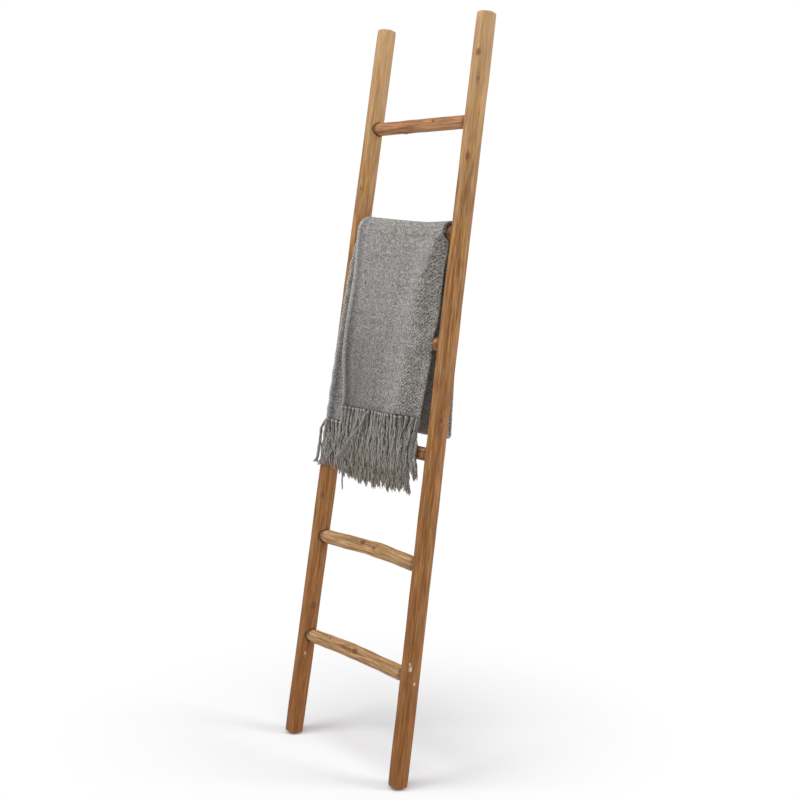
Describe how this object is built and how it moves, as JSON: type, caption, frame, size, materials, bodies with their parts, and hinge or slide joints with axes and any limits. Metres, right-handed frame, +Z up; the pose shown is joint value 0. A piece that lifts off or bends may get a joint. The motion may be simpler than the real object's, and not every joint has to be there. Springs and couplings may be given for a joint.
{
  "type": "leaning blanket ladder with a throw",
  "caption": "Rustic leaning ladder of two peeled poles and round branch rungs, with a folded grey-brown woven throw and its knotted fringe hung over an upper rung.",
  "frame": {"origin": "on the floor, midway between the two points where the feet touch it", "axes": "+X along the rungs to the right as seen from the room, +Y towards the wall, +Z up"},
  "size_m": [0.45, 0.3464, 1.7818],
  "materials": {
    "rail_wood": "peeled pole, dry and worn, waxed matt",
    "rung_wood": "round branch, dry and worn, with knots",
    "nail_steel": "dull wire nail",
    "woven_cloth": "thick slubby yarn, coarse weave",
    "fringe_yarn": "loose crimped yarn, knotted"
  },
  "bodies": {
    "ladder": {"rail_left": "rail_wood", "rail_right": "rail_wood", "rung_1": "rung_wood", "rung_2": "rung_wood", "rung_3": "rung_wood", "rung_4": "rung_wood", "rung_5": "rung_wood", "rung_6": "rung_wood", "nails_left": "nail_steel", "nails_right": "nail_steel"},
    "throw": {"throw": "woven_cloth", "fringe_outer": "fringe_yarn", "fringe_inner": "fringe_yarn"}
  },
  "joints": [
    {"name": "throw_slide", "type": "slide", "parent": "ladder", "child": "throw", "axis": [1, 0, 0], "range_m": [-0.006, 0.006]}
  ]
}
